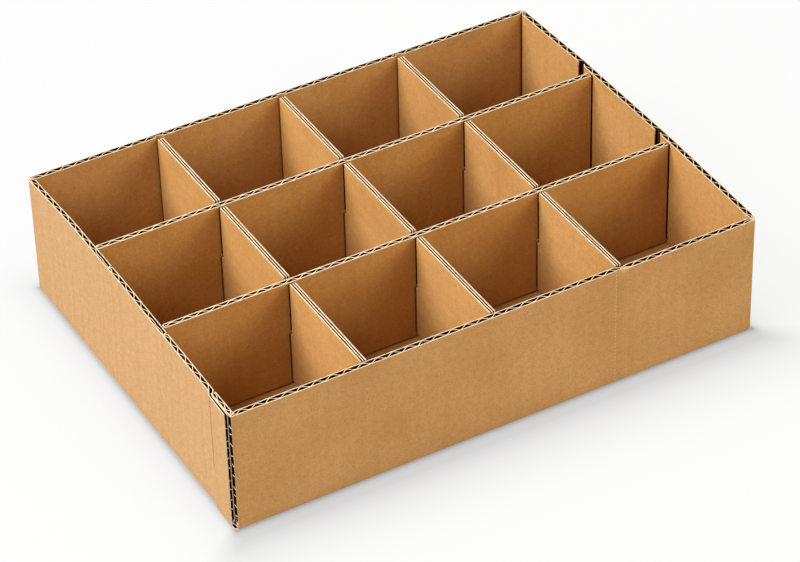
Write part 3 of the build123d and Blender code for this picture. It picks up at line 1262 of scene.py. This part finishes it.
@dataclass(frozen=True)
class LongDivider:
    """A divider along the tray, with upright flutes and half slots from below.

    slot_plays are the gaps before and after the board in a slot, and slit is the width of
    the slit that the front liner has above each slot, where the cross divider meets it,
    which shows the painted-shade finish inside the board as a dark line.
    """

    name: str
    y: float
    phase: float
    left_gap: float = 1.7
    end_gap: float = 1.2
    slot_plays: tuple = (1.3, 0.7)
    slit: float = 1.0
    end_radius: float = 1.7
    liner: float = 0.68
    medium: float = 0.52

    def build(self, finishes: Finishes) -> bpy.types.Object:
        """Make the divider.

        The left ends of the liners close in on each other as a quarter circle, and the
        medium is a sine wave between them.

        Args:
            finishes: Materials of the board.

        Returns:
            The divider as one piece.
        """
        start = BOARD.thickness + self.left_gap
        end = PLAN.length + PLAN.push - BOARD.thickness - self.end_gap
        top = PLAN.divider_top
        meeting = (PLAN.floor + top) / 2 + 0.5
        slots = Slots(PLAN.cross_x, *self.slot_plays, meeting, from_below=True)
        slit = Slots(PLAN.cross_x, 0.1, self.slit - 2 * BOARD.half, meeting + 1.2, from_below=False)
        levels = np.array(
            [PLAN.foot, 20.0, meeting, meeting + 1.2, 60.0, 74.0, 78.0, top - 0.5, top]
        )
        tip = np.linspace(start, start + 2, 9)
        rest = np.linspace(start + 3, end, 120)
        parts = []
        for side in (-1, 1):
            places = np.unique(np.concatenate([tip, rest, slots.edges(), slit.edges()]))
            before = ((start + self.end_radius - places) / self.end_radius).clip(0)
            rounded = np.sqrt(np.clip(1 - before**2, 0.04, 1))
            shift = self.y + side * rounded * (BOARD.half - self.liner / 2)
            line = Trace(np.stack([places, shift], axis=1))
            surface, flutes = upright(line, levels)
            sides = (Surface.INSIDE, Surface.HIDDEN)
            sides = sides if side < 0 else sides[::-1]
            kept = slots.kept(places, levels)
            # The front liner's slit is a dark line of painted shade at each joint.
            if side < 0:
                kept &= slit.kept(places, levels) | (levels[1:] > top - 0.1)
            parts.append(sheet(surface, self.liner, flutes, kept, sides))
        places = np.unique(np.concatenate([np.arange(start + 0.8, end, 0.5), slots.edges(), [end]]))
        wave = np.sin(2 * math.pi * (places / BOARD.pitch + self.phase))
        wave *= np.clip((places - start) / self.end_radius - 0.3, 0, 1)
        swing = BOARD.half - self.liner - self.medium / 2
        line = Trace(np.stack([places, self.y + swing * wave], axis=1))
        few = levels[[0, 2, 5, 8]]
        surface, flutes = upright(line, few)
        sides = (Surface.HIDDEN, Surface.HIDDEN)
        parts.append(sheet(surface, self.medium, flutes, slots.kept(places, few), sides))
        return piece(self.name + "_board", joined(parts), finishes, self.name)


@dataclass(frozen=True)
class CrossDivider:
    """A divider across the tray, with flat flutes and half slots from above.

    slot_plays are the gaps before and after the board in a slot, and straight is the height
    below the top over which the wave of the medium dies out.
    """

    name: str
    x: float
    phase: float
    front_gap: float = 1.7
    end_gap: float = 1.2
    slot_plays: tuple = (1.4, 2.0)
    liner: float = 0.78
    medium: float = 0.68
    straight: float = 2.4

    def build(self, finishes: Finishes) -> bpy.types.Object:
        """Make the divider.

        The medium is a sine wave that dies out over the last few millimetres below the
        top, so that its cut edge runs midway between the liners with a slow waver.

        Args:
            finishes: Materials of the board.

        Returns:
            The divider as one piece.
        """
        start = BOARD.thickness + self.front_gap
        end = PLAN.width - BOARD.thickness - self.end_gap
        top = PLAN.divider_top
        meeting = (PLAN.floor + top) / 2 - 0.5
        slots = Slots(PLAN.long_y, *self.slot_plays, meeting, from_below=False)
        places = np.unique(np.concatenate([np.linspace(start, end, 90), slots.edges()]))
        levels = np.array([PLAN.foot, 20.0, meeting, 60.0, 74.0, 78.0, top])
        parts = []
        for side in (-1, 1):
            along, height = np.meshgrid(places, levels, indexing="ij")
            across = np.full_like(along, self.x + side * (BOARD.half - self.liner / 2))
            surface = np.stack([across, along, height], axis=2)
            flutes = np.stack([height, along], axis=2)
            sides = (Surface.INSIDE, Surface.HIDDEN)
            sides = sides if side > 0 else sides[::-1]
            parts.append(sheet(surface, self.liner, flutes, slots.kept(places, levels), sides))
        fine = np.unique(np.concatenate([np.arange(levels[0], top, 0.5), [meeting, top]]))
        along, height = np.meshgrid(places, fine, indexing="ij")
        drift = 0.035 * ripple(along, along, 30, 11)
        wave = np.sin(2 * math.pi * ((height - top) / BOARD.pitch + self.phase + drift))
        fade = np.clip((top - height) / self.straight, 0, 1) ** 2
        waver = 0.17 * ripple(along, along, 17, 5) * (1 - fade)
        swing = BOARD.half - self.liner - self.medium / 2 - 0.02
        surface = np.stack([self.x + swing * wave * fade + waver, along, height], axis=2)
        flutes = np.stack([height, along], axis=2)
        sides = (Surface.HIDDEN, Surface.HIDDEN)
        parts.append(sheet(surface, self.medium, flutes, slots.kept(places, fine), sides))
        return piece(self.name + "_board", joined(parts), finishes, self.name)


@dataclass(frozen=True)
class PhotoCamera:
    """The camera at the photograph's viewing angle, fitted to the tray's corners.

    location is in millimetres from the tray's outer front left corner, at the floor.
    """

    location: tuple = (-591.5, -1267.4, 1243.0)
    azimuth: float = 28.78
    elevation: float = 37.628
    roll: float = -1.713
    lens: float = 155.55
    sensor: float = 36.0

    def build(self) -> bpy.types.Object:
        """Make the camera and set it as the scene's own.

        Returns:
            The camera.
        """
        low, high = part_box("tray")
        corner = Vector((high.x - (PLAN.push + PLAN.length) * MM, low.y, low.z))
        turn = math.radians(self.azimuth)
        tilt = math.radians(self.elevation)
        level = math.cos(tilt)
        forward = Vector((math.sin(turn) * level, math.cos(turn) * level, -math.sin(tilt)))
        level_right = forward.cross(Vector((0, 0, 1))).normalized()
        right = Matrix.Rotation(math.radians(self.roll), 3, -forward) @ level_right
        up = right.cross(forward)
        data = bpy.data.cameras.new("photo_camera")
        data.lens = self.lens
        data.sensor_width = self.sensor
        data.clip_start = 0.05
        data.clip_end = 50.0
        camera = bpy.data.objects.new("photo_camera", data)
        turned = Matrix((right, up, -forward)).transposed().to_4x4()
        camera.matrix_world = Matrix.Translation(corner + Vector(self.location) * MM) @ turned
        bpy.context.scene.collection.objects.link(camera)
        bpy.context.scene.camera = camera
        return camera


@dataclass(frozen=True)
class Studio:
    """A white floor and soft lamps, brightest from the left.

    The floor lightens itself for the camera by far_glow, less two soft rims of painted
    shadow round the tray, one broad and one tight, whose strength halves with each half
    distance outwards. The broad painted shadow is stronger in front, over a zone that
    narrows to the sides. Sizes are in metres.
    """

    key_place: tuple = (-2.1, 0.25, 1.9)
    key_energy: float = 114.0
    key_size: float = 1.8
    fill_place: tuple = (1.3, -2.3, 1.1)
    fill_energy: float = 38.5
    fill_size: float = 1.4
    fill_colour: tuple = (1.0, 0.89, 0.72)
    floor_reach: float = 6.0
    sky: float = 0.4
    floor_tone: tuple = (0.4, 0.4, 0.4, 1.0)
    seen_tone: tuple = (0.06, 0.06, 0.06, 1.0)
    far_glow: float = 0.905
    tray_reach: tuple = (0.168, 0.126)
    painted_shadow_broad_strengths: tuple = (0.11, 0.46)
    painted_shadow_broad_zone: tuple = (-0.12, -0.135)
    painted_shadow_broad_narrowing: float = 0.7
    painted_shadow_broad_half: float = 0.013
    painted_shadow_tight_strength: float = 0.3
    painted_shadow_tight_half: float = 0.0014

    def lamp(
        self, name: str, place: tuple, energy: float, size: float, colour: tuple = (1.0, 1.0, 1.0)
    ) -> None:
        """Add a square lamp that points at the tray.

        Args:
            name: Name of the lamp.
            place: Where it stands, in metres.
            energy: Its power in watts.
            size: Length of its side in metres.
            colour: Its colour.
        """
        data = bpy.data.lights.new(name, "AREA")
        data.energy = energy
        data.size = size
        data.color = colour
        made = bpy.data.objects.new(name, data)
        made.location = place
        made.rotation_mode = "QUATERNION"
        made.rotation_quaternion = (-Vector(place)).to_track_quat("-Z", "Y")
        bpy.context.scene.collection.objects.link(made)

    def floor(self) -> None:
        """Lay the white floor, which lightens itself for the camera, keeps a faint shadow of the
        tray, and has a painted shadow round it.
        """
        mesh = bpy.data.meshes.new("studio_floor")
        reach = self.floor_reach
        signs = ((-1, -1), (1, -1), (1, 1), (-1, 1))
        mesh.from_pydata([(x * reach, y * reach, 0.0) for x, y in signs], [], [(0, 1, 2, 3)])
        g = Graph("white_floor")
        rays = g.add("LightPath")
        direct = g.math("MAXIMUM", rays.outputs["Is Camera Ray"], rays.outputs["Is Glossy Ray"])
        direct = g.math("MAXIMUM", direct, rays.outputs["Is Transmission Ray"])
        x, y, _ = g.add("SeparateXYZ", {0: g.add("TexCoord").outputs["Object"]}).outputs
        out_x, out_y = (
            g.math("MAXIMUM", g.math("SUBTRACT", g.math("ABSOLUTE", along), tray), 0.0)
            for along, tray in zip((x, y), self.tray_reach)
        )
        squares = [g.math("POWER", out, 2.0) for out in (out_x, out_y)]
        away = g.math("SQRT", g.math("ADD", *squares))
        ahead = g.math("ADD", y, g.math("MULTIPLY", out_x, self.painted_shadow_broad_narrowing))
        # Painted shadow: two rims that darken the floor round the tray, the broad one strongest in
        # front.
        broad, tight = (
            g.math("MULTIPLY", strength, g.math("POWER", 0.5, g.math("DIVIDE", away, half)))
            for strength, half in (
                (g.ranged(ahead, self.painted_shadow_broad_zone, self.painted_shadow_broad_strengths), self.painted_shadow_broad_half),
                (self.painted_shadow_tight_strength, self.painted_shadow_tight_half),
            )
        )
        # The floor's glow for the camera, less the painted shadow.
        glow = g.math("SUBTRACT", self.far_glow, g.math("ADD", broad, tight))
        lift = g.math("MULTIPLY", direct, glow)
        matte = g.add("BsdfDiffuse", {"Color": g.blend(direct, self.floor_tone, self.seen_tone)})
        lit = g.add("Emission", {"Color": (1.0, 1.0, 1.0, 1.0), "Strength": lift})
        both = g.add("AddShader", {0: matte.outputs[0], 1: lit.outputs[0]})
        g.add("OutputMaterial", {"Surface": both.outputs[0]})
        mesh.materials.append(g.material)
        made = bpy.data.objects.new("studio_floor", mesh)
        bpy.context.scene.collection.objects.link(made)

    def world(self) -> None:
        """Light the world evenly, and show it white to the camera."""
        world = bpy.data.worlds.new("studio_world")
        world.use_nodes = True
        tree = world.node_tree
        tree.nodes.clear()
        rays = tree.nodes.new("ShaderNodeLightPath")
        share = rays.outputs["Is Camera Ray"]
        for kind in ("Is Glossy Ray", "Is Transmission Ray"):
            either = tree.nodes.new("ShaderNodeMath")
            either.operation = "MAXIMUM"
            tree.links.new(share, either.inputs[0])
            tree.links.new(rays.outputs[kind], either.inputs[1])
            share = either.outputs[0]
        seen = tree.nodes.new("ShaderNodeMix")
        seen.inputs["A"].default_value = self.sky
        seen.inputs["B"].default_value = 1.0
        tree.links.new(share, seen.inputs["Factor"])
        light = tree.nodes.new("ShaderNodeBackground")
        light.inputs["Color"].default_value = (1.0, 1.0, 1.0, 1.0)
        tree.links.new(seen.outputs["Result"], light.inputs["Strength"])
        out = tree.nodes.new("ShaderNodeOutputWorld")
        tree.links.new(light.outputs[0], out.inputs["Surface"])
        bpy.context.scene.world = world

    def build(self) -> None:
        """Set up the floor, the lamps and the view settings."""
        self.floor()
        self.world()
        self.lamp("key_lamp", self.key_place, self.key_energy, self.key_size)
        fill = (self.fill_place, self.fill_energy, self.fill_size, self.fill_colour)
        self.lamp("fill_lamp", *fill)
        bpy.context.scene.view_settings.view_transform = "Standard"


def main() -> None:
    """Build the tray, its dividers, the studio and the camera."""
    logging.basicConfig(level=logging.INFO, format="%(name)s: %(message)s")
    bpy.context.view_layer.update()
    outer = KraftLiner()
    # Partly painted shade: the inner liner is a deeper, more saturated brown than the outer one,
    # partly for another paper and partly for the shade inside the tray.
    inner = KraftLiner(
        "inner_liner", srgb(197, 149, 89), srgb(186, 136, 76), side=srgb(190, 142, 82)
    )
    finishes = Finishes(outer.build(), CutEdge().build(), PaintedShadeFlutes().build(), inner.build())
    TrayWrap().build(finishes)
    BottomFlaps().build(finishes)
    # Painted shade: the long dividers, whose seen faces lie in shade, get a deeper, more saturated
    # copy of the inner liner.
    painted_shade_liner = KraftLiner("divider_liner_painted_shade", srgb(195, 146, 82), srgb(184, 132, 68))
    painted_shade_finishes = replace(finishes, inside=painted_shade_liner.build())
    LongDivider("long_divider_front", PLAN.long_y[0], phase=0.1).build(painted_shade_finishes)
    LongDivider("long_divider_back", PLAN.long_y[1], phase=0.55).build(painted_shade_finishes)
    for index, side in enumerate(("left", "middle", "right")):
        phase = 0.03 - 0.03 * index
        CrossDivider(f"cross_divider_{side}", PLAN.cross_x[index], phase).build(finishes)
    Studio().build()
    PhotoCamera().build()


if __name__ == "__main__":
    main()
